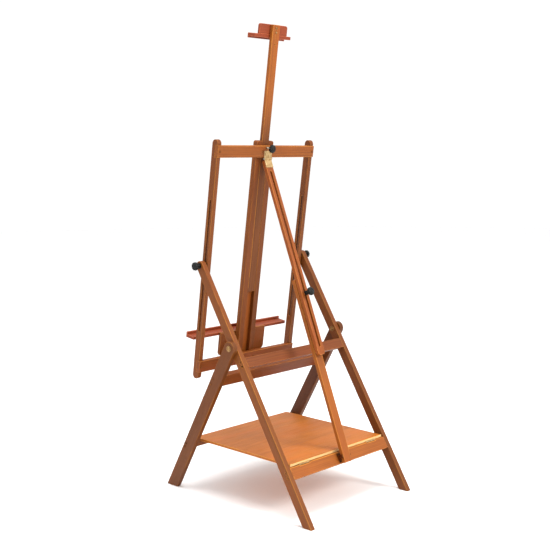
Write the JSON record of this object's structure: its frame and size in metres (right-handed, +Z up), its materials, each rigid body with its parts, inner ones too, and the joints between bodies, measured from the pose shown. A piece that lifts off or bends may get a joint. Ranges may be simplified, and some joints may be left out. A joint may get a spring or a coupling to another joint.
{
  "type": "tripod field easel",
  "caption": "Folding timber field easel: crossed front and rear legs, tilting canvas frame on side knobs, sliding mast with top holder, lower ledge, rear strut and hinged shelf.",
  "frame": {"origin": "on the floor, at the centre of the footprint", "axes": "+X the painter's right, +Y the rear, +Z up"},
  "size_m": [0.616, 0.7374, 1.7406],
  "materials": {
    "beech_orange": "oiled, warm orange",
    "beech_brown": "oiled, red brown",
    "plywood": "oiled plywood",
    "brass": "plated, satin",
    "steel": "zinc plated",
    "black_plastic": "moulded"
  },
  "bodies": {
    "rear_frame": {"rear_leg_right": "beech_orange", "rear_leg_left": "beech_orange", "upper_rear_rail": "beech_orange", "lower_rear_rail": "beech_orange", "rear_frame_screws": "brass", "leg_pivot_bolts": "steel", "strut_foot_bracket": "steel", "shelf_hinge_fixed": "brass"},
    "front_frame": {"front_leg_right": "beech_brown", "front_leg_left": "beech_brown", "upper_front_rail": "beech_brown", "lower_front_rail": "beech_brown", "front_frame_screws": "brass"},
    "shelf": {"shelf": "plywood", "shelf_hinge_moving": "brass"},
    "side_clamps": {"clamp_bolts": "steel", "clamp_spacers": "black_plastic"},
    "side_knob_right": {"side_knob_right": "black_plastic"},
    "side_knob_left": {"side_knob_left": "black_plastic"},
    "canvas_frame": {"stile_right": "beech_brown", "stile_left": "beech_brown", "top_rail": "beech_orange", "bottom_rail": "beech_brown", "mast_board": "beech_brown", "mast_batten_right": "beech_brown", "mast_batten_left": "beech_brown", "panel_screws": "brass", "strut_head_leaf": "brass", "ledge_block": "beech_brown", "lower_ledge": "beech_orange", "ledge_lip": "beech_brown"},
    "mast": {"mast_slider": "beech_orange", "holder_plate": "beech_brown", "holder_ledge": "beech_orange", "holder_screws": "brass"},
    "mast_knob": {"mast_knob": "black_plastic"},
    "strut_head_pin": {"strut_head_pin": "steel"},
    "strut_upper": {"strut_upper": "beech_orange", "strut_upper_leaf": "brass"},
    "strut_foot_pin": {"strut_foot_pin": "steel"},
    "strut_lower": {"strut_lower": "beech_orange", "strut_clamp_bolt": "steel", "strut_spacer": "black_plastic"},
    "strut_knob": {"strut_knob": "black_plastic"}
  },
  "joints": [
    {"name": "front_fold", "type": "hinge", "parent": "rear_frame", "child": "front_frame", "pos_m": [0, -0.00818, 0.57923], "axis": [1, 0, 0], "range_deg": [0, 50]},
    {"name": "shelf_lift", "type": "hinge", "parent": "rear_frame", "child": "shelf", "pos_m": [0, 0.24829, 0.18935], "axis": [-1, 0, 0], "range_deg": [0, 24]},
    {"name": "frame_tilt", "type": "hinge", "parent": "rear_frame", "child": "side_clamps", "pos_m": [0, -0.18214, 0.862], "axis": [-1, 0, 0], "range_deg": [-3, 12]},
    {"name": "frame_lift", "type": "slide", "parent": "side_clamps", "child": "canvas_frame", "axis": [0, 0.1478, 0.989], "range_m": [-0.03, 0.03]},
    {"name": "mast_slide", "type": "slide", "parent": "canvas_frame", "child": "mast", "axis": [0, 0.1478, 0.989], "range_m": [-0.365, 0.4]},
    {"name": "side_knob_right_turn", "type": "hinge", "parent": "side_clamps", "child": "side_knob_right", "pos_m": [0, -0.18214, 0.862], "axis": [1, 0, 0], "range_deg": [0, 360]},
    {"name": "side_knob_left_turn", "type": "hinge", "parent": "side_clamps", "child": "side_knob_left", "pos_m": [0, -0.18214, 0.862], "axis": [-1, 0, 0], "range_deg": [0, 360]},
    {"name": "mast_knob_turn", "type": "hinge", "parent": "canvas_frame", "child": "mast_knob", "pos_m": [0.008, -0.08803, 1.28878], "axis": [0, 0.989, -0.1478], "range_deg": [0, 360]},
    {"name": "strut_foot_tilt", "type": "hinge", "parent": "rear_frame", "child": "strut_foot_pin", "pos_m": [0, 0.28137, 0.18205], "axis": [-1, 0, 0], "range_deg": [-4, 6]},
    {"name": "strut_foot_lift", "type": "hinge", "parent": "strut_foot_pin", "child": "strut_lower", "pos_m": [0, 0.28137, 0.18205], "axis": [-1, 0, 0], "range_deg": [-1.5, 1.5]},
    {"name": "strut_head_tilt", "type": "hinge", "parent": "canvas_frame", "child": "strut_head_pin", "pos_m": [0, -0.10192, 1.2499], "axis": [-1, 0, 0], "range_deg": [-12, 5]},
    {"name": "strut_head_lift", "type": "hinge", "parent": "strut_head_pin", "child": "strut_upper", "pos_m": [0, -0.10192, 1.2499], "axis": [-1, 0, 0], "range_deg": [-1.5, 1.5]},
    {"name": "strut_knob_turn", "type": "hinge", "parent": "strut_lower", "child": "strut_knob", "pos_m": [0, 0.06275, 0.74725], "axis": [0, 0.9327, 0.3608], "range_deg": [0, 360]}
  ],
  "couplings": [
    {"joint": "strut_foot_tilt", "follows": "frame_tilt", "ratio": 0.2803},
    {"joint": "strut_foot_lift", "follows": "frame_lift", "rad_per_m": 0.4577},
    {"joint": "strut_head_tilt", "follows": "frame_tilt", "ratio": -0.7197},
    {"joint": "strut_head_lift", "follows": "frame_lift", "rad_per_m": 0.4577}
  ]
}
